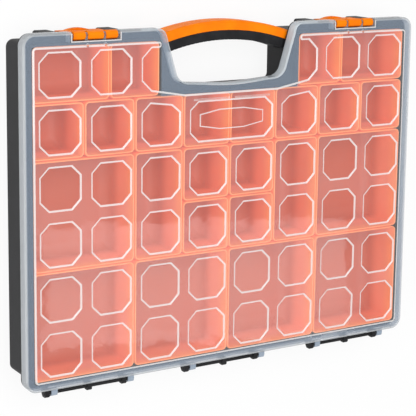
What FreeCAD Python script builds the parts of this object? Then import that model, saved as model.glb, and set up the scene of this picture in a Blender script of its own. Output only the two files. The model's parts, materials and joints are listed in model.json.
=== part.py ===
"""Small parts organizer: a flat case with a see-through lid, two latches, a handle and loose bins.

The case lies on its back with the lid up: +X to the right, +Y towards the handle, +Z out of the lid.
Sizes are millimetres. The bins stand on a grid of square cells, and the case is laid out around that grid.
"""
import FreeCAD, Part
import math
import os
import Sketcher

sizes = {
    # The grid of cells and the bins that stand on it.
    "cell_pitch": 50.0,
    "bin_gap": 1.0,
    "bin_wall": 1.4,
    "bin_floor": 1.4,
    "bin_corner_radius": 5.0,
    "bin_headroom": 0.7,
    # The tray: a tub with a rim flange and an upstand inside the lid.
    "case_height": 55.0,
    "parting_height": 43.5,
    "tray_wall": 2.0,
    "tray_floor": 2.0,
    "tray_corner_radius": 7.0,
    "tray_foot_cut": 1.5,
    "cavity_corner_radius": 5.0,
    "flange_thickness": 2.0,
    "flange_inset": 0.3,
    "upstand_wall": 1.5,
    "upstand_gap": 0.4,
    # The lid's plate and skirt, beyond the grid on each side.
    "lid_side_margin": 9.0,
    "lid_hinge_margin": 8.0,
    "lid_handle_margin": 11.0,
    "lid_corner_radius": 11.0,
    "lid_edge_cut": 1.4,
    "lid_wall": 2.0,
    "lid_plate": 1.8,
    "lid_seat_gap": 0.2,
    # The raised web on the lid and the windows in it.
    "web_rise": 0.8,
    "web_slope_run": 1.6,
    "web_side_spread": 0.5,
    "web_hinge_spread": 0.4,
    "web_handle_inset": 0.8,
    "web_corner_radius": 3.5,
    "web_arm_radius": 2.4,
    "web_brow_drop": 6.3,
    "web_nub_radius": 1.5,
    "window_size": 37.4,
    "window_chamfer": 9.0,
    "window_slant": 3.0,
    "long_window_drop": 2.0,
    "brow_slot_height": 94.4,
    "brow_slot_width": 1.0,
    "brow_slot_depth": 0.4,
    "brow_slot_near": 3.0,
    "brow_slot_far": 41.0,
    # A bare plaque in the long window, with bowed long edges.
    "plaque_half": 34.0,
    "plaque_end_half": 5.3,
    "plaque_middle_half": 9.0,
    "plaque_flat_half": 13.0,
    "plaque_rise": 0.4,
    # The notch for the handle, in the lid and in the tray.
    "notch_top_half": 71.0,
    "notch_low_half": 56.0,
    "notch_depth": 50.0,
    "notch_sag": 4.0,
    "notch_sag_radius": 200.0,
    "notch_corner_radius": 12.5,
    "notch_shoulder_radius": 9.5,
    "notch_wall": 2.5,
    "notch_inner_radius": 6.0,
    "notch_edge_radius": 2.5,
    # The recess for each latch, and the rod and lugs that carry it.
    "latch_offset": 139.5,
    "latch_width": 43.0,
    "recess_side_gap": 2.0,
    "recess_depth": 7.9,
    "recess_wall": 1.2,
    "latch_axis_inset": 3.5,
    "latch_axis_drop": 5.0,
    "latch_rod_radius": 2.0,
    "lid_lug_width": 1.8,
    "lid_lug_radius": 2.7,
    # Each latch: knuckles on the rod, a plate, a finger tab and a hook.
    "knuckle_radius": 3.9,
    "knuckle_fit": 0.05,
    "knuckle_gap": 2.4,
    "middle_knuckle_width": 15.2,
    "latch_plate": 2.5,
    "latch_plate_height": 1.6,
    "latch_length": 36.0,
    "latch_root_drop": 4.6,
    "latch_edge_radius": 1.2,
    "tab_width": 34.0,
    "tab_rise": 4.2,
    "tab_plate": 2.2,
    "tab_height": 7.0,
    "hook_overlap": 1.6,
    "hook_height": 2.7,
    "hook_gap": 0.3,
    "hook_width": 26.0,
    # The catch ledge and the guards on the tray beside each latch.
    "catch_height": 27.0,
    "catch_thickness": 3.0,
    "catch_ramp": 4.0,
    "catch_reach": 2.5,
    "catch_width": 30.0,
    "guard_gap": 1.7,
    "guard_length": 15.5,
    "guard_reach": 7.0,
    "guard_round": 2.5,
    "guard_low": 5.0,
    "guard_height": 28.0,
    # The hinge: rods in lugs on the tray, hooks on the lid.
    "hinge_axis_margin": 12.5,
    "hinge_axis_height": 44.5,
    "hinge_rod_radius": 2.0,
    "hinge_rod_start": 44.5,
    "hinge_rod_end": 46.5,
    "hinge_fit": 0.06,
    "hinge_lug_radius": 3.8,
    "hinge_lug_width": 4.5,
    "hinge_lug_tip": 1.5,
    "hinge_gusset_drop": 10.5,
    "hinge_hook_radius": 3.7,
    "hinge_hook_width": 6.0,
    "hinge_hook_round": 3.5,
    "hinge_mouth": 3.2,
    "hinge_zone_pitch": 144.0,
    "left_lug_place": 42.0,
    "left_hook_place": 35.0,
    "right_lug_place": 35.5,
    "right_hook_place": 42.5,
    # The handle: an arched shell over a ribbed grip.
    "handle_radius": 222.0,
    "handle_rise": 14.0,
    "handle_low": 15.0,
    "handle_depth": 24.0,
    "handle_gap": 0.3,
    "handle_seam": 0.1,
    "handle_edge_cut": 2.0,
    "shell_thickness": 9.0,
    "grip_thickness": 8.8,
    "grip_groove_width": 2.2,
    "grip_groove_depth": 0.8,
    "grip_groove_pitch": 4.4,
    "grip_end_margin": 3.0,
    "tenon_length": 1.2,
    "tenon_height": 4.0,
    "tenon_depth": 12.0,
    "cut_overrun": 1.0,
}
hinge_zones = 3
columns = 8
rows = 6
# A round corner in two flats: how far each point lies in from the two sides, as shares of the radius.
corner_shares = ((0.0, 1.0), (0.293, 0.293), (1.0, 0.0))
# Edges closer than this to a place lie on it.
touching = 1e-4


class Size:
    """A number from the sheet, or worked out from it, with the formula that gives it."""

    def __init__(self, value, text):
        self.value = value
        self.text = text

    def join(self, other, sign, swap=False):
        if not isinstance(other, Size):
            other = Size(other, repr(other))
        a, b = (other, self) if swap else (self, other)
        results = {"+": a.value + b.value, "-": a.value - b.value, "*": a.value * b.value}
        value = results[sign] if sign in results else a.value / b.value
        return Size(value, "(%s %s %s)" % (a.text, sign, b.text))

    def __add__(self, other):
        return self.join(other, "+")

    def __radd__(self, other):
        return self.join(other, "+", True)

    def __sub__(self, other):
        return self.join(other, "-")

    def __rsub__(self, other):
        return self.join(other, "-", True)

    def __mul__(self, other):
        return self.join(other, "*")

    def __rmul__(self, other):
        return self.join(other, "*", True)

    def __truediv__(self, other):
        return self.join(other, "/")

    def __neg__(self):
        return self.join(0, "-", True)


def root(area):
    """The square root of a size times a size."""
    return Size(math.sqrt(area.value), "sqrt(%s)" % area.text)


zero = Size(0.0, "0")
doc = FreeCAD.newDocument("organizer")
sheet = doc.addObject("Spreadsheet::Sheet", "Sizes")
for row, (name, number) in enumerate(sizes.items(), start=1):
    sheet.set("A%d" % row, name)
    sheet.set("B%d" % row, str(number))
    sheet.setAlias("B%d" % row, name)
doc.recompute()
s = {name: Size(float(sheet.get(name)), "Sizes." + name) for name in sizes}


def bind(thing, path, formula):
    """Set a property of a document object by a formula of the sheet."""
    thing.setExpression(path, formula.text)


def new_body(label, x=zero, y=zero, z=zero):
    """A sub-part of its own, placed in the case."""
    body = doc.addObject("PartDesign::Body", label)
    body.Label = label
    body.Placement = FreeCAD.Placement(FreeCAD.Vector(x.value, y.value, z.value), FreeCAD.Rotation())
    for axis, place in (("x", x), ("y", y), ("z", z)):
        bind(body, "Placement.Base." + axis, place)
    return body


def origin_feature(body, role):
    """One of the body's own planes or axes."""
    return [feature for feature in body.Origin.OriginFeatures if feature.Role == role][0]


def new_sketch(body, role, offset):
    """A sketch on one of the body's planes, moved out along the plane's normal."""
    sketch = body.newObject("Sketcher::SketchObject", "Sketch")
    sketch.AttachmentSupport = [(origin_feature(body, role), "")]
    sketch.MapMode = "FlatFace"
    sketch.AttachmentOffset = FreeCAD.Placement(FreeCAD.Vector(0, 0, offset.value), FreeCAD.Rotation())
    bind(sketch, "AttachmentOffset.Base.z", offset)
    return sketch


def constrain(sketch, rules):
    """Add constraints, and bind those that come with a formula."""
    places = sketch.addConstraint([rule for rule, formula in rules])
    for place, (rule, formula) in zip(places, rules):
        if formula is not None:
            sketch.renameConstraint(place, "size%d" % place)
            bind(sketch, "Constraints.size%d" % place, formula)


def at_point(element, end, x, y):
    """The two constraints that put one point of a sketch at x, y."""
    rule = Sketcher.Constraint
    sideways = rule("DistanceX", -1, 1, element, end, x.value)
    upward = rule("DistanceY", -1, 1, element, end, y.value)
    return [(sideways, x), (upward, y)]


def outline(body, role, offset, corners):
    """A sketch of one closed outline: corners of x, y and radius, anticlockwise, zero for a sharp one."""
    sketch = new_sketch(body, role, offset)
    points = [FreeCAD.Vector(x.value, y.value, 0) for x, y, radius in corners]
    count = len(points)
    starts, ends, arcs = [], [], []
    for i in range(count):
        before = (points[i - 1] - points[i]).normalize()
        after = (points[(i + 1) % count] - points[i]).normalize()
        turn = before.cross(after).z
        radius = corners[i][2].value
        bend = before.getAngle(after) / 2
        run = radius / math.tan(bend)
        ends.append(points[i] + before * run)
        starts.append(points[i] + after * run)
        middle = points[i] + (before + after).normalize() * (radius / math.sin(bend))
        arcs.append((radius, turn < 0, middle))
    lines = []
    for i in range(count):
        lines.append(Part.LineSegment(starts[i], ends[(i + 1) % count]))
    sketch.addGeometry(lines, False)
    rules = []
    rule = Sketcher.Constraint
    element = count
    for i, (radius, left_turn, middle) in enumerate(arcs):
        x, y, size = corners[i]
        line_in, line_out = (i - 1) % count, i
        if radius == 0:
            rules.append((rule("Coincident", line_in, 2, line_out, 1), None))
            rules += at_point(line_out, 1, x, y)
            continue
        first, last = (ends[i], starts[i]) if left_turn else (starts[i], ends[i])
        circle = Part.Circle(middle, FreeCAD.Vector(0, 0, 1), radius)
        sketch.addGeometry(Part.ArcOfCircle(circle, circle.parameter(first), circle.parameter(last)), False)
        sketch.addGeometry(Part.Point(points[i]), True)
        arc, corner = element, element + 1
        element += 2
        arc_in, arc_out = (1, 2) if left_turn else (2, 1)
        rules.append((rule("Tangent", line_in, 2, arc, arc_in), None))
        rules.append((rule("Tangent", arc, arc_out, line_out, 1), None))
        rules.append((rule("Radius", arc, radius), size))
        rules.append((rule("PointOnObject", corner, 1, line_in), None))
        rules.append((rule("PointOnObject", corner, 1, line_out), None))
        rules += at_point(corner, 1, x, y)
    constrain(sketch, rules)
    return sketch


def circle(body, role, offset, x, y, radius):
    """A sketch of one circle."""
    sketch = new_sketch(body, role, offset)
    middle = FreeCAD.Vector(x.value, y.value, 0)
    sketch.addGeometry(Part.Circle(middle, FreeCAD.Vector(0, 0, 1), radius.value), False)
    constrain(sketch, [(Sketcher.Constraint("Radius", 0, radius.value), radius)] + at_point(0, 3, x, y))
    return sketch


def arch(body, offset, outer, inner, half):
    """A sketch of an arched band about the body's origin, cut off upright at both ends."""
    sketch = new_sketch(body, "XY_Plane", offset)
    normal = FreeCAD.Vector(0, 0, 1)
    right = {}
    for radius in (outer, inner):
        right[radius] = FreeCAD.Vector(half.value, math.sqrt(radius.value ** 2 - half.value ** 2), 0)
        angle = math.atan2(right[radius].y, right[radius].x)
        around = Part.Circle(FreeCAD.Vector(0, 0, 0), normal, radius.value)
        sketch.addGeometry(Part.ArcOfCircle(around, angle, math.pi - angle), False)
    left = {radius: FreeCAD.Vector(-end.x, end.y, 0) for radius, end in right.items()}
    sketch.addGeometry(Part.LineSegment(left[outer], left[inner]), False)
    sketch.addGeometry(Part.LineSegment(right[inner], right[outer]), False)
    rule = Sketcher.Constraint
    rules = [(rule("Coincident", 0, 2, 2, 1), None), (rule("Coincident", 2, 2, 1, 2), None)]
    rules += [(rule("Coincident", 1, 1, 3, 1), None), (rule("Coincident", 3, 2, 0, 1), None)]
    rules += [(rule("Coincident", arc, 3, -1, 1), None) for arc in (0, 1)]
    rules += [(rule("Radius", 0, outer.value), outer), (rule("Radius", 1, inner.value), inner)]
    rules += [(rule("Vertical", line), None) for line in (2, 3)]
    rules.append((rule("DistanceX", -1, 1, 3, 1, half.value), half))
    rules.append((rule("DistanceX", -1, 1, 2, 1, -half.value), -half))
    constrain(sketch, rules)
    return sketch


def extrude(body, kind, sketch, length, reverse=False, middle=False, taper=None):
    """Pad or pocket a sketch: along the plane's normal, against it, or half each way."""
    feature = body.newObject("PartDesign::" + kind, kind)
    feature.Profile = sketch
    feature.Reversed = reverse
    feature.Midplane = middle
    feature.Length = length.value
    feature.Refine = False
    bind(feature, "Length", length)
    if taper is not None:
        feature.TaperAngle = -taper.value
        bind(feature, "TaperAngle", taper * -1)
    sketch.Visibility = False
    body.Tip = feature
    return feature


def cut_up(body, sketch, length, taper=None):
    """Take material away above a sketch's plane."""
    return extrude(body, "Pocket", sketch, length, reverse=True, taper=taper)


def cut_down(body, sketch, length, taper=None):
    """Take material away below a sketch's plane."""
    return extrude(body, "Pocket", sketch, length, taper=taper)


def repeat(body, feature, role, length, count, role2=None, length2=None, count2=1):
    """Repeat a feature in a row, or in rows and columns."""
    pattern = body.newObject("PartDesign::LinearPattern", "LinearPattern")
    pattern.Originals = [feature]
    pattern.Refine = False
    pattern.Direction = (origin_feature(body, role), [""])
    pattern.Length = length.value
    bind(pattern, "Length", length)
    pattern.Occurrences = count
    if role2:
        pattern.Direction2 = (origin_feature(body, role2), [""])
        pattern.Length2 = length2.value
        bind(pattern, "Length2", length2)
        pattern.Occurrences2 = count2
    body.Tip = pattern
    return pattern


def mirror(body, features):
    """Repeat features on the other side of the case's middle."""
    copy = body.newObject("PartDesign::Mirrored", "Mirrored")
    copy.Originals = features
    copy.Refine = False
    copy.MirrorPlane = (origin_feature(body, "YZ_Plane"), [""])
    body.Tip = copy
    return copy


def dress_edges(body, kind, chosen, size):
    """Round or chamfer the edges of the body for which chosen(edge) is true."""
    doc.recompute()
    base = body.Tip
    edges = ["Edge%d" % (i + 1) for i, edge in enumerate(base.Shape.Edges) if chosen(edge)]
    dress = body.newObject("PartDesign::" + kind, kind)
    dress.Base = (base, edges)
    measure = {"Fillet": "Radius", "Chamfer": "Size"}[kind]
    setattr(dress, measure, size.value)
    bind(dress, measure, size)
    body.Tip = dress
    return dress


def lies_at(edge, height):
    """Whether an edge lies flat at a height."""
    box = edge.BoundBox
    return max(abs(box.ZMin - height.value), abs(box.ZMax - height.value)) < touching


def is_outside(edge, x, y):
    """Whether an edge runs along the case's sides, and not around the notch between -x and x, above y."""
    middle = edge.BoundBox.Center
    return abs(middle.x) > x or middle.y < y + touching


# Places that several pieces share, measured from the middle of the grid.
half_x = s["cell_pitch"] * (columns / 2)
half_y = s["cell_pitch"] * (rows / 2)
plate_top = s["case_height"] - s["web_rise"]
plate_low = plate_top - s["lid_plate"]
lid_low = s["parting_height"] + s["lid_seat_gap"]
lid_x = half_x + s["lid_side_margin"]
lid_hinge_y = -(half_y + s["lid_hinge_margin"])
lid_handle_y = half_y + s["lid_handle_margin"]
tray_x = half_x + s["tray_wall"]
tray_y = half_y + s["tray_wall"]
recess_half = s["latch_width"] / 2 + s["recess_side_gap"]
latch_axis_y = lid_handle_y - s["latch_axis_inset"]
latch_axis_z = s["case_height"] - s["latch_axis_drop"]
hinge_axis_y = -(half_y + s["hinge_axis_margin"])
hinge_axis_z = s["hinge_axis_height"]
handle_top_y = half_y + s["handle_rise"]
handle_centre_y = handle_top_y - s["handle_radius"]
shell_inner = s["handle_radius"] - s["shell_thickness"]
grip_outer = shell_inner - s["handle_seam"]
grip_inner = grip_outer - s["grip_thickness"]
notch_cells = 3
row_one_x = s["cell_pitch"] * (notch_cells / 2)
row_one_y = half_y - s["cell_pitch"]
notch_x = row_one_x - s["notch_wall"]
handle_half = notch_x - s["handle_gap"]
knuckle_place = (s["middle_knuckle_width"] + s["knuckle_gap"]) / 2
web_slope = Size(math.degrees(math.atan(s["web_slope_run"].value / s["web_rise"].value)),
                 "atan(%s / %s)" % (s["web_slope_run"].text, s["web_rise"].text))
# The case is shifted so that its origin is under the middle of its whole length.
shift_y = (s["hinge_axis_margin"] + s["hinge_lug_radius"] - s["handle_rise"]) / 2


def mirrored(half_corners):
    """Corners on the +X side, in order anticlockwise, followed by the same corners on the -X side."""
    return half_corners + [(-x, y, radius) for x, y, radius in reversed(half_corners)]


def flats(x, y, across, up, radius):
    """A corner at x, y cut in flats between its two sides, which run off along across and up."""
    cuts = [(radius * (inward * across), radius * (upward * up)) for inward, upward in corner_shares]
    return [(x + cut_x, y + cut_y, zero) for cut_x, cut_y in cuts]


def lid_outline(inset, recess_inset):
    """The lid's outline taken in by an inset, with the handle's notch and the latches' recesses."""
    top = lid_handle_y - inset
    slope = (s["notch_top_half"] - s["notch_low_half"]) / s["notch_depth"]
    slant = root(slope * slope + 1)
    corner = s["lid_corner_radius"] - inset
    floor = lid_handle_y - s["recess_depth"] - recess_inset
    wide = recess_half + recess_inset
    offset = s["latch_offset"]
    notch_y = lid_handle_y - s["notch_depth"] - inset
    right = [(lid_x - inset, lid_hinge_y + inset, corner), (lid_x - inset, top, corner)]
    right += [(offset + wide, top, zero), (offset + wide, floor, zero)]
    right += [(offset - wide, floor, zero), (offset - wide, top, zero)]
    right += [(s["notch_top_half"] + inset * (slant - slope), top, s["notch_shoulder_radius"])]
    right += [(s["notch_low_half"] + inset * (slant - slope), notch_y, s["notch_corner_radius"] + inset)]
    left = [(-x, y, radius) for x, y, radius in reversed(right)]
    return right + [(zero, notch_y - s["notch_sag"], s["notch_sag_radius"])] + left


def cavity_outline(grow):
    """The outline of the tray's inside, grown outwards: the grid without the cells under the handle."""
    corner = s["cavity_corner_radius"] + grow
    step = s["notch_edge_radius"]
    right = [(half_x + grow, -half_y - grow, corner), (half_x + grow, half_y + grow, corner)]
    right += [(row_one_x - grow, half_y + grow, corner), (row_one_x - grow, row_one_y + grow, step)]
    return mirrored(right)


def make_tray():
    """The black tray: tub, rim flange, upstand, catches, guards, hinge lugs and rods."""
    body = new_body("base_tray", y=shift_y)
    right = [(tray_x, -tray_y, s["tray_corner_radius"]), (tray_x, tray_y, s["tray_corner_radius"])]
    right += [(notch_x, tray_y, s["notch_edge_radius"])]
    right += [(notch_x, row_one_y + s["tray_wall"], s["notch_inner_radius"])]
    extrude(body, "Pad", outline(body, "XY_Plane", zero, mirrored(right)), s["parting_height"])
    inside = (row_one_x.value, -tray_y.value)
    dress_edges(body, "Chamfer", lambda e: lies_at(e, zero) and is_outside(e, *inside), s["tray_foot_cut"])
    flange = lid_outline(s["flange_inset"], s["flange_inset"])
    flange_low = s["parting_height"] - s["flange_thickness"]
    extrude(body, "Pad", outline(body, "XY_Plane", flange_low, flange), s["flange_thickness"])
    upstand = outline(body, "XY_Plane", s["parting_height"], cavity_outline(s["upstand_wall"]))
    extrude(body, "Pad", upstand, plate_low - s["upstand_gap"] - s["parting_height"])
    cavity = outline(body, "XY_Plane", s["tray_floor"], cavity_outline(zero))
    cut_up(body, cavity, s["case_height"])
    add_sockets(body)
    add_catches(body)
    add_hinge_lugs(body)
    return body


def add_sockets(body):
    """In each side wall of the notch, a socket for the handle's tenon."""
    gap = s["handle_gap"]
    tenon_y = handle_centre_y + tenon_place()
    deep = handle_half + s["tenon_length"] + gap
    tall = s["tenon_height"] / 2 + gap
    socket = [(handle_half, tenon_y - tall, zero), (deep, tenon_y - tall, zero)]
    socket += [(deep, tenon_y + tall, zero), (handle_half, tenon_y + tall, zero)]
    tenon_low = s["handle_low"] + (s["handle_depth"] - s["tenon_depth"]) / 2 - gap
    hole = cut_up(body, outline(body, "XY_Plane", tenon_low, socket), s["tenon_depth"] + gap * 2)
    mirror(body, [hole])


def tenon_place():
    """The height of the tenons' middle above the arch's centre: the middle of the shell's end face."""
    low = root(shell_inner * shell_inner - handle_half * handle_half)
    high = root(s["handle_radius"] * s["handle_radius"] - handle_half * handle_half)
    return (low + high) / 2


def add_catches(body):
    """On the handle's side, a ledge for each latch's hook and a guard block at each side of the latch."""
    wall = tray_y - s["tray_wall"] / 2
    out = tray_y + s["catch_reach"]
    low = s["catch_height"]
    top = low + s["catch_thickness"]
    ledge = [(wall, low, zero), (out, low, zero), (out, top, zero), (wall, top + s["catch_ramp"], zero)]
    sketch = outline(body, "YZ_Plane", s["latch_offset"], ledge)
    features = [extrude(body, "Pad", sketch, s["catch_width"], middle=True)]
    near = s["latch_width"] / 2 + s["guard_gap"]
    far = near + s["guard_length"]
    reach = tray_y + s["guard_reach"]
    bend = s["guard_round"]
    for side in (-1, 1):
        guard = [(far, wall, zero), (far, reach, bend), (near, reach, bend), (near, wall, zero)]
        placed = [(s["latch_offset"] + x * side, y, radius) for x, y, radius in guard[::side]]
        sketch = outline(body, "XY_Plane", s["guard_low"], placed)
        features.append(extrude(body, "Pad", sketch, s["guard_height"]))
    mirror(body, features)


def add_hinge_lugs(body):
    """Along the edge opposite the handle, rods held by lugs in three zones."""
    start = -(s["hinge_zone_pitch"] * ((hinge_zones - 1) / 2))
    span = s["hinge_zone_pitch"] * (hinge_zones - 1)
    radius, tip = s["hinge_lug_radius"], s["hinge_lug_tip"]
    wall = -(tray_y - s["tray_wall"] / 2)
    low, high = hinge_axis_z - radius, hinge_axis_z + radius
    out, near = hinge_axis_y - radius, hinge_axis_y + radius
    lug = [(out + tip, high, zero), (out, high - tip, zero), (out, low + tip, zero), (out + tip, low, zero)]
    lug += [(wall, s["parting_height"] - s["hinge_gusset_drop"], zero), (wall, s["parting_height"], zero)]
    lug += [(near, s["parting_height"], zero), (near, high - tip, zero), (near - tip, high, zero)]
    for place in (-s["left_lug_place"], zero, s["right_lug_place"]):
        sketch = outline(body, "YZ_Plane", start + place, lug)
        pad = extrude(body, "Pad", sketch, s["hinge_lug_width"], middle=True)
        repeat(body, pad, "X_Axis", span, hinge_zones)
    rod_start = start - s["hinge_rod_start"]
    rod = circle(body, "YZ_Plane", rod_start, hinge_axis_y, hinge_axis_z, s["hinge_rod_radius"])
    pad = extrude(body, "Pad", rod, s["hinge_rod_start"] + s["hinge_rod_end"])
    repeat(body, pad, "X_Axis", span, hinge_zones)


def window(x, y, half_width, half_height, left_drop=zero, right_drop=zero):
    """Corners of a window with cut corners, at the web's top, where its sloping walls are widest apart."""
    grow = s["web_slope_run"]
    cut = s["window_chamfer"]
    wide, tall = half_width + grow, half_height + grow
    points = [(-wide, cut - tall), (cut - wide, -tall), (wide - cut, -tall), (wide, cut - tall)]
    points += [(wide, tall - cut - right_drop / 2), (wide - cut, tall - right_drop)]
    points += [(cut - wide, tall - left_drop), (-wide, tall - cut - left_drop / 2)]
    return [(x + px, y + py, zero) for px, py in points]


def make_lid():
    """The see-through lid: plate and skirt, raised web with windows, latch rods and hinge hooks."""
    body = new_body("lid", y=shift_y)
    outer = outline(body, "XY_Plane", lid_low, lid_outline(zero, zero))
    extrude(body, "Pad", outer, plate_top - lid_low)
    dress_edges(body, "Chamfer", lambda e: lies_at(e, plate_top) and not in_recess(e), s["lid_edge_cut"])
    inner = outline(body, "XY_Plane", lid_low, lid_outline(s["lid_wall"], s["recess_wall"]))
    cut_up(body, inner, plate_low - lid_low)
    add_latch_rods(body)
    add_hinge_hooks(body)
    add_web(body)
    add_windows(body)
    add_plaque(body)
    return body


def in_recess(edge):
    """Whether an edge runs around one of the latches' recesses."""
    middle = edge.BoundBox.Center
    floor = lid_handle_y - s["recess_depth"]
    beside = abs(abs(middle.x) - s["latch_offset"].value) - recess_half.value
    return beside < touching and middle.y > floor.value - touching


def add_web(body):
    """The raised web with sloping walls, which leaves out the partial windows beside the notch."""
    pitch = s["cell_pitch"]
    side, top = half_x + s["web_side_spread"], half_y - s["web_handle_inset"]
    low = -(half_y + s["web_hinge_spread"])
    window_half = s["window_size"] / 2
    cut, arm = s["window_chamfer"], s["web_arm_radius"]
    edge_x = row_one_x + window_half
    edge_low, edge_high = row_one_y + pitch / 2 - window_half, row_one_y + pitch / 2 + window_half
    right = [(side, low, s["web_corner_radius"]), (side, top, s["web_corner_radius"])]
    right += [(row_one_x, top, arm), (row_one_x, edge_high, arm), (edge_x - cut, edge_high, zero)]
    right += [(edge_x, edge_high - cut, zero), (edge_x, edge_low + cut, zero)]
    right += [(edge_x - cut, edge_low, zero), (pitch, edge_low - s["web_brow_drop"], zero)]
    sketch = outline(body, "XY_Plane", plate_top, mirrored(right))
    extrude(body, "Pad", sketch, s["web_rise"], taper=web_slope)
    nubs = []
    for x in (s["latch_offset"] - knuckle_place, s["latch_offset"] + knuckle_place):
        nub = circle(body, "XY_Plane", plate_top, x, top, s["web_nub_radius"])
        nubs.append(extrude(body, "Pad", nub, s["web_rise"]))
    mirror(body, nubs)


def add_windows(body):
    """Windows in the web, one over each cell, with one long window under the notch."""
    pitch = s["cell_pitch"]
    half = s["window_size"] / 2
    top, rise, slope = s["case_height"], s["web_rise"], web_slope
    first_y = pitch / 2 - half_y
    blocks = [(pitch / 2 - half_x, columns, rows - 2, first_y)]
    blocks += [(x, 2, 2, half_y - pitch * 1.5) for x in (pitch / 2 - half_x, half_x - pitch * 1.5)]
    for x, across, up, y in blocks:
        sketch = outline(body, "XY_Plane", top, window(x, y, half, half))
        pocket = cut_down(body, sketch, rise, taper=slope)
        repeat(body, pocket, "X_Axis", pitch * (across - 1), across, "Y_Axis", pitch * (up - 1), up)
    brow_y = half_y - pitch * 1.5
    long_half = pitch - (pitch - s["window_size"]) / 2
    drop = s["long_window_drop"]
    special = [window(-row_one_x, brow_y, half, half, zero, s["window_slant"])]
    special += [window(row_one_x, brow_y, half, half, s["window_slant"], zero)]
    special += [window(zero, brow_y, long_half, half, drop, drop)]
    for corners in special:
        cut_down(body, outline(body, "XY_Plane", top, corners), rise, taper=slope)


def add_plaque(body):
    """In the long window, a bare plaque with bowed long edges, and above that window two shallow slots."""
    middle = half_y - s["cell_pitch"] * 1.5
    half, flat = s["plaque_half"], s["plaque_flat_half"]
    end, tall = s["plaque_end_half"], s["plaque_middle_half"]
    right = [(flat, middle - tall, zero), (half, middle - end, zero), (half, middle + end, zero)]
    right += [(flat, middle + tall, zero)]
    plaque = outline(body, "XY_Plane", plate_top, mirrored(right))
    extrude(body, "Pad", plaque, s["plaque_rise"])
    low = s["brow_slot_height"] - s["brow_slot_width"] / 2
    high = low + s["brow_slot_width"]
    near, far = s["brow_slot_near"], s["brow_slot_far"]
    slot = [(near, low, zero), (far, low, zero), (far, high, zero), (near, high, zero)]
    mirror(body, [cut_down(body, outline(body, "XY_Plane", s["case_height"], slot), s["brow_slot_depth"])])


def add_latch_rods(body):
    """Across each recess, a rod for the latch's knuckles, with two lugs between them."""
    offset = s["latch_offset"]
    rod = circle(body, "YZ_Plane", offset, latch_axis_y, latch_axis_z, s["latch_rod_radius"])
    length = (recess_half + s["recess_wall"]) * 2
    features = [extrude(body, "Pad", rod, length, middle=True)]
    wall = lid_handle_y - s["recess_depth"] - s["recess_wall"] / 2
    radius = s["lid_lug_radius"]
    low, high, out = latch_axis_z - radius, latch_axis_z + radius, latch_axis_y + radius
    bend = radius - s["lid_lug_width"] / 2
    lug = [(wall, low, zero)] + flats(out, low, -1, 1, bend)[::-1]
    lug += flats(out, high, -1, -1, bend) + [(wall, high, zero)]
    for x in (offset - knuckle_place, offset + knuckle_place):
        sketch = outline(body, "YZ_Plane", x, lug)
        features.append(extrude(body, "Pad", sketch, s["lid_lug_width"], middle=True))
    mirror(body, features)


def add_hinge_hooks(body):
    """Open hooks on the skirt that snap over the tray's hinge rods."""
    start = -(s["hinge_zone_pitch"] * ((hinge_zones - 1) / 2))
    span = s["hinge_zone_pitch"] * (hinge_zones - 1)
    radius, bend = s["hinge_hook_radius"], s["hinge_hook_round"]
    out, near = hinge_axis_y - radius, hinge_axis_y + radius
    low, high = hinge_axis_z - radius, hinge_axis_z + radius
    skirt = lid_hinge_y + s["lid_wall"] / 2
    hook = flats(out, high, 1, -1, bend)[::-1] + flats(out, low, 1, 1, bend)
    hook += flats(near, low, -1, 1, bend)[::-1]
    hook += [(near, lid_low, zero), (skirt, lid_low, zero), (skirt, high, zero)]
    left, right = hinge_axis_y - s["hinge_mouth"] / 2, hinge_axis_y + s["hinge_mouth"] / 2
    under = low - s["cut_overrun"]
    mouth = [(left, under, zero), (right, under, zero)]
    mouth += [(right, hinge_axis_z, zero), (left, hinge_axis_z, zero)]
    bore = s["hinge_rod_radius"] + s["hinge_fit"]
    width = s["hinge_hook_width"]
    for place in (-s["left_hook_place"], s["right_hook_place"]):
        pad = extrude(body, "Pad", outline(body, "YZ_Plane", start + place, hook), width, middle=True)
        repeat(body, pad, "X_Axis", span, hinge_zones)
        hole = circle(body, "YZ_Plane", start + place, hinge_axis_y, hinge_axis_z, bore)
        pocket = extrude(body, "Pocket", hole, width, middle=True)
        repeat(body, pocket, "X_Axis", span, hinge_zones)
        slot = outline(body, "YZ_Plane", start + place, mouth)
        pocket = extrude(body, "Pocket", slot, width, middle=True)
        repeat(body, pocket, "X_Axis", span, hinge_zones)


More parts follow.
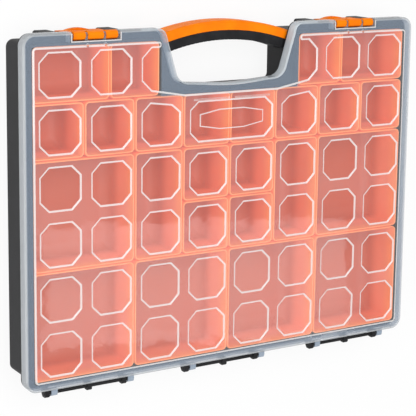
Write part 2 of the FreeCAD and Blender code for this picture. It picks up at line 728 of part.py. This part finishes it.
def make_latch(label, side):
    """An orange latch about its rod's axis: plate and finger tab, hook, and three knuckles."""
    body = new_body(label, s["latch_offset"] * side, latch_axis_y + shift_y, latch_axis_z)
    outer = s["latch_plate_height"]
    inner = outer - s["latch_plate"]
    root_z, low_z = -s["latch_root_drop"], -s["latch_length"]
    plate = [(inner, low_z, zero), (outer, low_z, zero), (outer, root_z, zero), (inner, root_z, zero)]
    extrude(body, "Pad", outline(body, "YZ_Plane", zero, plate), s["latch_width"], middle=True)
    corner = s["latch_edge_radius"]
    dress_edges(body, "Fillet", lambda e: e.BoundBox.ZLength < touching
                and e.BoundBox.YMin > outer.value - touching, corner)
    radius = s["knuckle_radius"]
    below = root_z - corner
    knuckle = flats(-radius, radius, 1, -1, radius)[::-1] + flats(-radius, -radius, 1, 1, radius + inner)
    knuckle += [(inner, below, zero), (outer, below, zero), (outer, -radius, zero)]
    knuckle += [(radius, -radius / 2, zero)] + flats(radius, radius, -1, -1, radius)[:-1]
    middle = s["middle_knuckle_width"]
    end_width = (s["latch_width"] - middle) / 2 - s["knuckle_gap"]
    end_place = (s["latch_width"] - end_width) / 2
    for place, width in ((-end_place, end_width), (zero, middle), (end_place, end_width)):
        sketch = outline(body, "YZ_Plane", place, knuckle)
        extrude(body, "Pad", sketch, width, middle=True)
    bore = circle(body, "YZ_Plane", zero, zero, zero, s["latch_rod_radius"] + s["knuckle_fit"])
    extrude(body, "Pocket", bore, s["latch_width"], middle=True)
    add_hook(body, inner)
    add_tab(body, inner, low_z)
    return body


def add_hook(body, inner):
    """The hook reaches under the tray's catch ledge from inside the plate."""
    tip = tray_y + s["catch_reach"] - s["hook_overlap"] - latch_axis_y
    top = s["catch_height"] - s["hook_gap"] - latch_axis_z
    low = top - s["hook_height"]
    inside = inner + s["latch_plate"] / 2
    hook = [(tip, top, zero), (tip, low + s["hook_height"] / 2, zero), (inner, low - s["hook_height"], zero)]
    hook += [(inside, low - s["hook_height"], zero), (inside, top, zero)]
    extrude(body, "Pad", outline(body, "YZ_Plane", zero, hook), s["hook_width"], middle=True)


def add_tab(body, inner, low_z):
    """The finger tab: the plate's lower edge arched outwards."""
    half = s["tab_width"] / 2
    rise = s["tab_rise"]
    radius = (half * half + rise * rise) / (rise * 2)
    crown = inner + rise
    centre = crown - radius
    tab = arch(body, low_z - s["tab_plate"], radius, radius - s["tab_plate"], half)
    tab.AttachmentOffset = FreeCAD.Placement(
        FreeCAD.Vector(0, centre.value, low_z.value - s["tab_plate"].value), FreeCAD.Rotation())
    bind(tab, "AttachmentOffset.Base.y", centre)
    extrude(body, "Pad", tab, s["tab_height"])


def make_handle():
    """The handle: an orange arched shell with a tenon at each end, over a black grip with grooves."""
    centre = handle_centre_y + shift_y
    shell = new_body("handle_shell", y=centre, z=s["handle_low"])
    extrude(shell, "Pad", arch(shell, zero, s["handle_radius"], shell_inner, handle_half), s["handle_depth"])
    on_top = s["handle_radius"].value
    dress_edges(shell, "Chamfer", lambda e: e.Curve.TypeId == "Part::GeomCircle"
                and abs(e.Curve.Radius - on_top) < touching, s["handle_edge_cut"])
    place, tall, length = tenon_place(), s["tenon_height"] / 2, s["tenon_length"]
    base = handle_half - length
    tip = handle_half + length
    corners = [(base, place - tall, zero), (tip, place - tall, zero), (tip, place + tall, zero)]
    corners += [(base, place + tall, zero)]
    sketch = outline(shell, "XY_Plane", (s["handle_depth"] - s["tenon_depth"]) / 2, corners)
    mirror(shell, [extrude(shell, "Pad", sketch, s["tenon_depth"])])
    grip = new_body("handle_grip", y=centre, z=s["handle_low"])
    extrude(grip, "Pad", arch(grip, zero, grip_outer, grip_inner, handle_half), s["handle_depth"])
    add_grooves(grip)
    return [shell, grip]


def add_grooves(grip):
    """Fine grooves across the grip's underside, fanned about the arch's centre from one end to the other."""
    pitch = s["grip_groove_pitch"]
    count = 2 * int((handle_half - s["grip_end_margin"]).value / pitch.value) - 1
    end = pitch * ((count - 1) / 2)
    along_x, along_y = end / grip_inner, root(grip_inner * grip_inner - end * end) / grip_inner
    mouth, half = grip_inner - s["cut_overrun"], s["grip_groove_width"] / 2
    tip = grip_inner + s["grip_groove_depth"]
    corners = [(along_x * mouth + along_y * half, along_y * mouth - along_x * half, zero)]
    corners += [(along_x * tip, along_y * tip, zero)]
    corners += [(along_x * mouth - along_y * half, along_y * mouth + along_x * half, zero)]
    fan = grip.newObject("PartDesign::PolarPattern", "PolarPattern")
    fan.Originals = [cut_up(grip, outline(grip, "XY_Plane", zero, corners), s["handle_depth"])]
    fan.Axis = (origin_feature(grip, "Z_Axis"), [""])
    fan.Occurrences = count
    half_turn = Size(math.asin(end.value / grip_inner.value), "asin(%s / %s)" % (end.text, grip_inner.text))
    fan.Angle = math.degrees(2 * half_turn.value)
    bind(fan, "Angle", half_turn * 2)
    grip.Tip = fan


def make_bin(label, left, low, across, up):
    """A loose open bin over so many cells, from its left and lower cell edges."""
    pitch, gap, wall = s["cell_pitch"], s["bin_gap"], s["bin_wall"]
    rim_z = plate_low - s["bin_headroom"]
    height = rim_z - s["tray_floor"]
    body = new_body(label, pitch * (left + across / 2), pitch * (low + up / 2) + shift_y, rim_z)

    def rounded(inset, radius):
        wide, tall = (pitch * across - gap) / 2 - inset, (pitch * up - gap) / 2 - inset
        right = flats(wide, -tall, -1, 1, radius)[::-1] + flats(wide, tall, -1, -1, radius)
        return outline(body, "XY_Plane", zero, mirrored(right))

    extrude(body, "Pad", rounded(zero, s["bin_corner_radius"]), height, reverse=True)
    inside = rounded(wall, s["bin_corner_radius"] - wall)
    cut_down(body, inside, height - s["bin_floor"])
    return body


def make_bins():
    """The bins, as left and lower cell edges, cells across and cells up, counted from the grid's middle."""
    small = [(column, 1, 1, 1) for column in range(-4, 4)]
    small += [(-2.5, 2, 1, 1), (1.5, 2, 1, 1)]
    small += [(column, low, 1, 1) for column in (-1, 0) for low in (0, -1)]
    wide = [(-4, 2, 1.5, 1), (2.5, 2, 1.5, 1)]
    tall = [(-2, -1, 1, 2), (1, -1, 1, 2)]
    large = [(-4, -1, 2, 2), (2, -1, 2, 2)]
    large += [(column, -3, 2, 2) for column in (-4, -2, 0, 2)]
    bins = []
    for kind, places in (("small", small), ("wide", wide), ("tall", tall), ("large", large)):
        for number, place in enumerate(places, start=1):
            bins.append(make_bin("bin_%s_%02d" % (kind, number), *place))
    return bins


sub_parts = [make_tray(), make_lid(), make_latch("latch_left", -1), make_latch("latch_right", 1)]
sub_parts += make_handle() + make_bins()
doc.recompute()

faults = [thing.Name for thing in doc.Objects if {"Invalid", "Error"} & set(thing.State)]
for part in sub_parts:
    shape = part.Shape
    if shape.isNull() or not shape.isValid() or len(shape.Solids) != 1:
        faults.append(part.Label)
if faults:
    raise RuntimeError("these did not come out whole: " + ", ".join(faults))
os.makedirs("parts", exist_ok=True)
for part in sub_parts:
    part.Shape.exportStep("parts/%s.step" % part.Label)
print("wrote", len(sub_parts), "sub-parts")
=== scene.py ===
import json

import bpy
import numpy as np
from mathutils import Matrix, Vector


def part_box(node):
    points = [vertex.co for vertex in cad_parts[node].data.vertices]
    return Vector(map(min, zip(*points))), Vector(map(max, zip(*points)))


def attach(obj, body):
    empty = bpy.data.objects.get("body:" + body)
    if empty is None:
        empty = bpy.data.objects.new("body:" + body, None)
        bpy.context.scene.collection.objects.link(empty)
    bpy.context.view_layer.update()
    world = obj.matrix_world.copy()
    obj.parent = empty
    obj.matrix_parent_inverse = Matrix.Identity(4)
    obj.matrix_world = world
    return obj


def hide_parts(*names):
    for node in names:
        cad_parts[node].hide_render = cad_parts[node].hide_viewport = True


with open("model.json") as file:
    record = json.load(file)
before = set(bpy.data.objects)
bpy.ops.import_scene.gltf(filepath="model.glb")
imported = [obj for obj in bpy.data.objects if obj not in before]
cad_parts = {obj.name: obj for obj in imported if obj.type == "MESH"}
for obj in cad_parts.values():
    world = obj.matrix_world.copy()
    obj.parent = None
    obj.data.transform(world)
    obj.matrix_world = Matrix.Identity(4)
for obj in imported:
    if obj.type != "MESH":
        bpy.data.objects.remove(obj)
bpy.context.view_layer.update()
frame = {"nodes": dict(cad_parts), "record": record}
scene = bpy.context.scene
nodes = frame["nodes"]
print("frame loaded:", len(nodes), "nodes")


class Socket:
    # one output of a shader node; arithmetic on it adds Math nodes
    def __init__(self, finish, out):
        self.finish = finish
        self.out = out

    def calc(self, operation, *values):
        return self.finish.node("ShaderNodeMath", {"operation": operation}, dict(enumerate(values)))

    def __add__(self, other):
        return self.calc("ADD", self, other)

    def __radd__(self, other):
        return self.calc("ADD", other, self)

    def __sub__(self, other):
        return self.calc("SUBTRACT", self, other)

    def __rsub__(self, other):
        return self.calc("SUBTRACT", other, self)

    def __mul__(self, other):
        return self.calc("MULTIPLY", self, other)

    def __rmul__(self, other):
        return self.calc("MULTIPLY", other, self)

    def __abs__(self):
        return self.calc("ABSOLUTE", self)

    def atLeast(self, other):
        return self.calc("MAXIMUM", self, other)

    def atMost(self, other):
        return self.calc("MINIMUM", self, other)

    def power(self, other):
        return self.calc("POWER", self, other)

    # 0 at low, 1 at high, smooth between them; high may be the smaller one
    def ramp(self, low, high):
        settings = {"interpolation_type": "SMOOTHSTEP"}
        return self.finish.node("ShaderNodeMapRange", settings, {0: self, 1: low, 2: high, 3: 0.0, 4: 1.0})


class Finish:
    # one material and its nodes
    def __init__(self, name):
        self.material = bpy.data.materials.new(name)
        self.material.use_nodes = True
        self.tree = self.material.node_tree
        self.tree.nodes.clear()
        self.end = self.tree.nodes.new("ShaderNodeOutputMaterial")

    # any node: its type, its settings, then the values or links of its sockets
    def node(self, kind, settings, values, output=0):
        made = self.tree.nodes.new(kind)
        for key, value in settings.items():
            setattr(made, key, value)
        for key, value in values.items():
            if isinstance(value, Socket):
                self.tree.links.new(value.out, made.inputs[key])
            else:
                made.inputs[key].default_value = value
        return Socket(self, made.outputs[output])

    def place(self):
        return self.node("ShaderNodeTexCoord", {}, {}, "Object")

    def axes(self, vector):
        split = self.node("ShaderNodeSeparateXYZ", {}, {0: vector})
        return [Socket(self, out) for out in split.out.node.outputs]

    def facing(self):
        return self.axes(self.node("ShaderNodeTexCoord", {}, {}, "Normal"))

    def noise(self, place, scale, detail):
        return self.node("ShaderNodeTexNoise", {}, {"Vector": place, "Scale": scale, "Detail": detail}, "Fac")

    def blend(self, factor, first, second):
        values = {0: factor, 6: first, 7: second}
        return self.node("ShaderNodeMix", {"data_type": "RGBA"}, values, 2)

    # the surface's normal with its edges rounded by so much
    def softNormal(self, rounding, samples):
        return self.node("ShaderNodeBevel", {"samples": samples}, {"Radius": rounding})

    # bump on top of rounded edges
    def bump(self, height, strength, distance, rounding):
        values = {"Strength": strength, "Distance": distance, "Height": height,
                  "Normal": self.softNormal(rounding, 4)}
        return self.node("ShaderNodeBump", {}, values)

    # a direction of the piece's own, wherever the piece is turned
    def along(self, axis):
        settings = {"vector_type": "NORMAL", "convert_from": "OBJECT", "convert_to": "WORLD"}
        return self.node("ShaderNodeVectorTransform", settings, {0: axis})

    # how far the rounded surface leans along an axis of the piece
    def lean(self, rounding, axis):
        values = {0: self.softNormal(rounding, 6), 1: self.along(axis)}
        return self.node("ShaderNodeVectorMath", {"operation": "DOT_PRODUCT"}, values, 1)

    def turnTo(self, factor, normal, other):
        return self.node("ShaderNodeMix", {"data_type": "VECTOR"}, {0: factor, 4: normal, 5: other}, 1)

    def show(self, shader):
        self.tree.links.new(shader.out, self.end.inputs[0])
        return self.material

    def plastic(self, values):
        return self.node("ShaderNodeBsdfPrincipled", {}, values)

    def mix(self, factor, first, second):
        return self.node("ShaderNodeMixShader", {}, {0: factor, 1: first, 2: second})


trayLook = {"first": (0.011, 0.011, 0.012, 1), "second": (0.019, 0.019, 0.021, 1),
            "cloud": 40.0, "cloudDetail": 3.0, "cloudFade": (0.3, 0.7),
            "roughness": 0.50, "spread": 0.1, "specular": 0.22,
            "grain": 2600.0, "grainDetail": 3.0, "grainStrength": 0.35, "grainDepth": 0.00006, "edge": 0.0006}

latchLook = {"first": (0.94, 0.200, 0.0, 1), "second": (1.0, 0.245, 0.0, 1),
             "cloud": 60.0, "cloudDetail": 2.0, "cloudFade": (0.3, 0.7),
             "roughness": 0.48, "spread": 0.08, "specular": 0.12,
             "grain": 1800.0, "grainDetail": 2.0, "grainStrength": 0.15, "grainDepth": 0.00004, "edge": 0.0012}

gripLook = {"first": (0.009, 0.009, 0.010, 1), "second": (0.016, 0.016, 0.018, 1),
            "cloud": 90.0, "cloudDetail": 2.0, "cloudFade": (0.3, 0.7),
            "roughness": 0.55, "spread": 0.1, "specular": 0.2,
            "grain": 3000.0, "grainDetail": 3.0, "grainStrength": 0.4, "grainDepth": 0.00006, "edge": 0.0004}


# plain moulded plastic: two colours in soft clouds and a fine grain
def moulded(name, look):
    f = Finish(name)
    place = f.place()
    cloud = f.noise(place, look["cloud"], look["cloudDetail"])
    grain = f.noise(place, look["grain"], look["grainDetail"])
    colour = f.blend(cloud.ramp(*look["cloudFade"]), look["first"], look["second"])
    return f.show(f.plastic({"Base Color": colour, "Roughness": look["roughness"] + cloud * look["spread"],
                             "Specular IOR Level": look["specular"],
                             "Normal": f.bump(grain, look["grainStrength"], look["grainDepth"], look["edge"])}))


# lengths are metres; a fade names where a zone begins and where it is full
# the floor colour is a painted shade, the rim colour painted light and the glow a painted glow
binLook = {"floor": (0.53, 0.118, 0.060, 1), "wall": (0.90, 0.255, 0.138, 1), "rim": (1.0, 0.33, 0.12, 1),
           "floorShadeFade": (0.0034, 0.030), "rimFade": (0.0337, 0.0507), "paintedGlow": 0.13,
           "cloud": 25.0, "cloudDetail": 2.0, "cloudFade": (0.35, 0.75), "cloudShare": 0.15,
           "roughness": 0.46, "spread": 0.08,
           "grain": 1500.0, "grainDetail": 2.0, "grainStrength": 0.2, "grainDepth": 0.00004, "edge": 0.0003,
           "corner": 0.0042, "leastCorner": 0.0004, "thickness": 0.0014, "outerFoot": 0.0045, "innerFoot": 0.011,
           "draft": 0.0007, "footSteps": 6, "rimSteps": 9, "cornerSteps": 7}


def binOrange():
    look = binLook
    f = Finish("binOrange")
    place = f.place()
    z = f.axes(place)[2]
    cloud = f.noise(place, look["cloud"], look["cloudDetail"])
    # painted shade and light: the colour darkens to a painted shade at the floor and brightens to a painted highlight
    # at the rim, standing in for light through the thin walls; a faint emission adds a painted glow
    body = f.blend(z.ramp(*look["floorShadeFade"]), look["floor"], look["wall"])
    colour = f.blend(z.ramp(*look["rimFade"]), body, look["rim"])
    colour = f.blend(cloud.ramp(*look["cloudFade"]) * look["cloudShare"], colour, look["floor"])
    grain = f.noise(place, look["grain"], look["grainDetail"])
    return f.show(f.plastic({"Base Color": colour, "Roughness": look["roughness"] + cloud * look["spread"],
                             # painted glow: the emission makes the bins shine, though they are no lamp
                             "Emission Color": colour, "Emission Strength": look["paintedGlow"],
                             "Normal": f.bump(grain, look["grainStrength"], look["grainDepth"], look["edge"])}))


# lengths are metres in the case's own frame; the plate's top lies at 0.0542 and the web's at 0.0550
# painted light in these colours: the edge band and the lines are painted highlights; the walls by the notch are a
# paler, painted-lit copy of the other walls' painted shaded grey
lidLook = {"clear": (0.90, 0.90, 0.92, 1), "border": (0.62, 0.76, 0.95, 1), "edge": (0.80, 0.85, 0.90, 1),
           "wall": (0.58, 0.61, 0.64, 1), "notchWallLit": (0.78, 0.85, 0.90, 1), "line": (0.92, 0.89, 0.88, 1),
           "knob": (0.38, 0.45, 0.54, 1),
           "underHaze": 0.03, "windowHaze": 0.045, "webHaze": 0.11, "borderHaze": 0.145, "edgeHighlightHaze": 0.42,
           "wallHaze": 0.55, "lineHaze": 0.74, "knobHaze": 0.85, "cloudHaze": 0.02,
           "topFade": (0.0536, 0.0540), "raisedFade": (0.0547, 0.0549), "uprightFade": (0.85, 0.78),
           "webHalf": 0.2005, "webLow": -0.14925, "webHigh": 0.15035, "notchHalf": 0.0745, "notchLow": 0.1005,
           "borderFade": (-0.0002, 0.0002), "handleHalf": 0.095, "handleLow": 0.088, "handleFade": (0.002, -0.002),
           "edgeX": 0.198, "edgeY": 0.1485, "edgeMiddle": 0.00265, "edgeRound": 0.011, "edgeHighlightFade": (-0.0030, -0.0015),
           "plaqueY": 0.07615, "plaqueHalf": 0.034, "plaqueFlat": 0.013, "plaqueTall": 0.009, "plaqueEnd": 0.0053,
           "plaqueFade": (0.0007, 0.0003),
           "lineRound": 0.0006, "bendFade": (0.99, 0.96), "bendSide": (0.0026, 0.0022), "bendNotch": (0.0085, 0.008),
           "bendHeight": (0.0539, 0.0541),
           "recessX": 0.1395, "recessHalf": 0.0235, "recessY": 0.15425, "recessFade": (0.0012, 0.0007),
           "knobFade": (-0.1571, -0.1579), "cloud": 120.0, "cloudDetail": 2.0,
           "ripple": 55.0, "rippleDetail": 1.5, "rippleStrength": 0.25, "rippleDepth": 0.0004, "rippleRound": 0.0004,
           "roughness": 0.16, "spread": 0.06,
           "gloss": 0.042, "glossEdge": 0.6, "glossPower": 5.0, "glossRoughness": 0.04, "webDull": 0.6}


def lidFrost():
    look = lidLook
    f = Finish("lidFrost")
    place = f.place()
    x, y, z = f.axes(place)
    top = z.ramp(*look["topFade"])
    raised = z.ramp(*look["raisedFade"])
    upright = abs(f.facing()[2]).ramp(*look["uprightFade"])
    side = (abs(x) - look["webHalf"]).atLeast(y - look["webHigh"]).atLeast(look["webLow"] - y)
    notch = (look["notchHalf"] - abs(x)).atMost(y - look["notchLow"])
    border = side.atLeast(notch).ramp(*look["borderFade"])
    handleLitWalls = (abs(x) - look["handleHalf"]).atLeast(look["handleLow"] - y).ramp(*look["handleFade"])
    # painted highlight: a pale band along the outer edge; distance to a rectangle with round corners, negative inside
    across, onward = abs(x) - look["edgeX"], abs(y - look["edgeMiddle"]) - look["edgeY"]
    overX, overY = across.atLeast(0.0), onward.atLeast(0.0)
    reach = (overX * overX + overY * overY).power(0.5) + across.atLeast(onward).atMost(0.0)
    edge = (reach - look["edgeRound"]).ramp(*look["edgeHighlightFade"])
    # the plaque's outline, along which a painted highlight line runs: straight ends, long edges that fall off from a
    # flat middle
    slope = (look["plaqueTall"] - look["plaqueEnd"]) / (look["plaqueHalf"] - look["plaqueFlat"])
    tall = look["plaqueTall"] - (abs(x) - look["plaqueFlat"]).atLeast(0.0) * slope
    plaque = (abs(x) - look["plaqueHalf"]).atLeast(abs(y - look["plaqueY"]) - tall)
    plaqueHighlight = abs(plaque).ramp(*look["plaqueFade"]) * top * (1 - upright)
    # painted highlight: pale lines where the surface bends at the web's edges
    bendHighlight = abs(f.lean(look["lineRound"], (0, 0, 1))).ramp(*look["bendFade"])
    bendHighlight = bendHighlight * side.ramp(*look["bendSide"]) * notch.ramp(*look["bendNotch"])
    line = (bendHighlight * z.ramp(*look["bendHeight"])).atLeast(plaqueHighlight)
    # painted highlight: a pale line around the latches' recesses
    recess = (abs(abs(x) - look["recessX"]) - look["recessHalf"]).atLeast(look["recessY"] - y)
    line = line.atLeast(recess.ramp(*look["recessFade"]) * top * (1 - upright))
    knob = y.ramp(*look["knobFade"])
    cloud = f.noise(place, look["cloud"], look["cloudDetail"])
    # how milky the lid is: its sheet, then border, the painted highlight of the edge, the walls, the painted
    # highlight lines and hinge hooks laid over one another
    sheet = top * (look["windowHaze"] - look["underHaze"] + raised * (look["webHaze"] - look["windowHaze"]))
    sheet = sheet + look["underHaze"]
    flat = sheet + border * (look["borderHaze"] - sheet) + (cloud - 0.5) * look["cloudHaze"]
    flat = flat + edge * top * (look["edgeHighlightHaze"] - flat)
    haze = flat + upright * (look["wallHaze"] - flat)
    haze = haze + line * (look["lineHaze"] - haze)
    haze = haze + knob * (look["knobHaze"] - haze)
    colour = f.blend(border, look["clear"], look["border"])
    colour = f.blend(edge, colour, look["edge"])
    # painted light and shade on the upright walls: the walls by the handle's notch get a paler, painted-lit copy, the
    # other walls a painted shaded grey
    colour = f.blend(upright, colour, f.blend(handleLitWalls, look["wall"], look["notchWallLit"]))
    colour = f.blend(line, colour, look["line"])
    colour = f.blend(knob, colour, look["knob"])
    ripple = f.noise(place, look["ripple"], look["rippleDetail"])
    ripples = f.bump(ripple, look["rippleStrength"], look["rippleDepth"], look["rippleRound"])
    # the painted highlight lines take light from whichever side they are seen: the level normal turns over on a back
    # face
    behind = f.node("ShaderNodeNewGeometry", {}, {}, "Backfacing")
    values = {0: f.along((0, 0, 1)), "Scale": 1 - behind * 2}
    level = f.node("ShaderNodeVectorMath", {"operation": "SCALE"}, values)
    frost = f.plastic({"Base Color": colour, "Roughness": look["roughness"] + cloud * look["spread"],
                       "Specular IOR Level": 0.0, "Normal": f.turnTo(line, ripples, level)})
    body = f.mix(haze, f.node("ShaderNodeBsdfTransparent", {}, {}), frost)
    # gloss grows at a slant, as on any clear plastic, and only the outer faces have it; the web is duller
    slant = f.node("ShaderNodeLayerWeight", {}, {"Blend": 0.5}, "Facing").power(look["glossPower"])
    outer = top.atLeast(upright)
    gloss = outer * (slant * look["glossEdge"] + look["gloss"]) * (1 - raised * (1 - border) * look["webDull"])
    shine = f.node("ShaderNodeBsdfGlossy", {}, {"Roughness": look["glossRoughness"], "Normal": ripples})
    return f.show(f.mix(gloss, body, shine))


finishes = {"tray_black": moulded("trayBlack", trayLook), "bin_orange": binOrange(),
            "latch_orange": moulded("latchOrange", latchLook), "grip_black": moulded("gripBlack", gripLook),
            "lid_clear": lidFrost()}
slots = {part["node"]: part["material_slot"] for part in frame["record"]["subparts"]}
for name, node in nodes.items():
    node.data.materials.clear()
    node.data.materials.append(finishes[slots[name]])
print("finishes given to", len(nodes), "nodes")


def meshPiece(name, points, faces, material):
    mesh = bpy.data.meshes.new(name)
    mesh.from_pydata(points, [], faces)
    mesh.update()
    mesh.materials.append(material)
    piece = bpy.data.objects.new(name, mesh)
    scene.collection.objects.link(piece)
    return piece


# a bin's wall in section, from the underside up, over the rim and down to the inside floor:
# inset from the outer wall, and height; the draft pulls the foot in
def binProfile(low, high, look):
    quarter = np.linspace(0, np.pi / 2, look["footSteps"])
    half = np.linspace(0, np.pi, look["rimSteps"])
    wide, outer, inner = look["thickness"], look["outerFoot"], look["innerFoot"]
    floorTop = low + wide
    inset = [outer - outer * np.sin(quarter), wide / 2 - wide / 2 * np.cos(half),
             wide + inner * (1 - np.cos(quarter))]
    height = [low + outer - outer * np.cos(quarter), high - wide / 2 + wide / 2 * np.sin(half),
              floorTop + inner * (1 - np.sin(quarter))]
    inset, height = np.concatenate(inset), np.concatenate(height)
    return inset + look["draft"] * (high - height) / (high - low), height


# the profile carried around a rectangle with round corners: at each inset the corner's radius is what is left
# of the outer one, and its centre stays on the corner's diagonal
def binShell(name, look, material):
    low, high = [np.array(c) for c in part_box(name)]
    middle, half = (low + high) / 2, (high - low) / 2
    inset, height = binProfile(low[2], high[2], look)
    steps = np.tile(np.linspace(0, np.pi / 2, look["cornerSteps"]), 4)
    corner = np.repeat(np.arange(4), look["cornerSteps"])
    angle = steps + corner * np.pi / 2
    signX, signY = np.array([1, -1, -1, 1])[corner], np.array([1, 1, -1, -1])[corner]
    radius = np.maximum(look["corner"] - inset, look["leastCorner"])[:, None]
    x = middle[0] + signX * (half[0] - inset[:, None] - radius) + radius * np.cos(angle)
    y = middle[1] + signY * (half[1] - inset[:, None] - radius) + radius * np.sin(angle)
    z = np.broadcast_to(height[:, None], x.shape)
    rings, around = x.shape
    grid = np.arange(rings * around).reshape(rings, around)
    onward = np.roll(grid, -1, axis=1)
    faces = np.stack([grid[:-1], onward[:-1], onward[1:], grid[1:]], axis=-1).reshape(-1, 4).tolist()
    faces += [grid[0, ::-1].tolist(), grid[-1].tolist()]
    piece = meshPiece(name + "_shell", np.stack([x, y, z], axis=-1).reshape(-1, 3), faces, material)
    piece.data.polygons.foreach_set("use_smooth", np.ones(len(faces), bool))
    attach(piece, "base")
    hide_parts(name)
    return piece


bins = [name for name in nodes if slots[name] == "bin_orange"]
for name in bins:
    binShell(name, binLook, finishes["bin_orange"])
print("bins moulded:", len(bins))

floorLook = {"half": 6.0, "colour": (0.92, 0.92, 0.92, 1), "white": (1, 1, 1, 1), "shine": 0.88}


# a bright sweep: white where it is looked at or mirrored, matte where it only scatters light
def floorWhite():
    look = floorLook
    f = Finish("floorWhite")
    rays = f.node("ShaderNodeLightPath", {}, {}).out.node.outputs
    seen = Socket(f, rays["Is Camera Ray"]).atLeast(Socket(f, rays["Is Glossy Ray"]))
    seen = seen.atLeast(Socket(f, rays["Is Transmission Ray"]))
    matte = f.node("ShaderNodeBsdfDiffuse", {}, {"Color": look["colour"]})
    white = f.node("ShaderNodeEmission", {}, {"Color": look["white"], "Strength": 1.0})
    return f.show(f.mix(seen * look["shine"], matte, white))


half = floorLook["half"]
corners = [(-half, -half, 0), (half, -half, 0), (half, half, 0), (-half, half, 0)]
floor = meshPiece("floor", corners, [(0, 1, 2, 3)], floorWhite())
print("floor laid")

worldLook = {"Color": (1, 1, 1, 1), "Strength": 0.45}
world = bpy.data.worlds.new("studio")
scene.world = world
world.use_nodes = True
for key, value in worldLook.items():
    world.node_tree.nodes["Background"].inputs[key].default_value = value

# place, target, width, height in metres and power in watts
lamps = {
    "overhead": ((-0.5, 0.5, 1.8), (0, 0, 0), 1.6, 1.6, 27.5),
    "lowFront": ((0.854, -0.56, 1.542), (0.254, -0.05, -0.058), 0.67, 0.26, 1.6),
    "lowFrontFaint": ((0.919, -0.75, 1.548), (0.219, -0.06, -0.052), 0.56, 0.13, 0.18),
    "leftFill": ((-1.6, -0.3, 0.7), (0, 0, 0), 0.9, 0.9, 6.5),
}


def stand(right, up, forward, place):
    turn = np.eye(4)
    turn[:3] = np.stack([right, up, -np.array(forward), place], axis=1)
    return Matrix(turn.tolist())


def lookAt(place, target):
    forward = np.array(target, float) - np.array(place, float)
    forward /= np.linalg.norm(forward)
    right = np.cross(forward, (0, 1, 0.001))  # nearly y, so that no lamp looks along it
    right /= np.linalg.norm(right)
    return stand(right, np.cross(right, forward), forward, place)


for name, (place, target, width, height, power) in lamps.items():
    lamp = bpy.data.lights.new(name, "AREA")
    lamp.shape = "RECTANGLE"
    lamp.size, lamp.size_y, lamp.energy = width, height, power
    holder = bpy.data.objects.new(name, lamp)
    holder.matrix_world = lookAt(place, target)
    scene.collection.objects.link(holder)
print("lamps set:", len(lamps))

# the photograph's viewpoint: place, right, up and forward in the part's frame
view = {"lens": 125.365, "sensor": 36.0, "shift": -0.1394, "place": (-0.70399, 0.28937, 1.17673),
        "right": (0.85686, 0.01237, 0.5154), "up": (0.08287, 0.98341, -0.16138),
        "forward": (0.50885, -0.181, -0.84161)}
lens = bpy.data.cameras.new("photoView")
lens.lens, lens.sensor_width, lens.shift_y = view["lens"], view["sensor"], view["shift"]
camera = bpy.data.objects.new("photoView", lens)
camera.matrix_world = stand(view["right"], view["up"], view["forward"], view["place"])
scene.collection.objects.link(camera)
scene.camera = camera
scene.view_settings.view_transform = "Standard"
print("camera set")
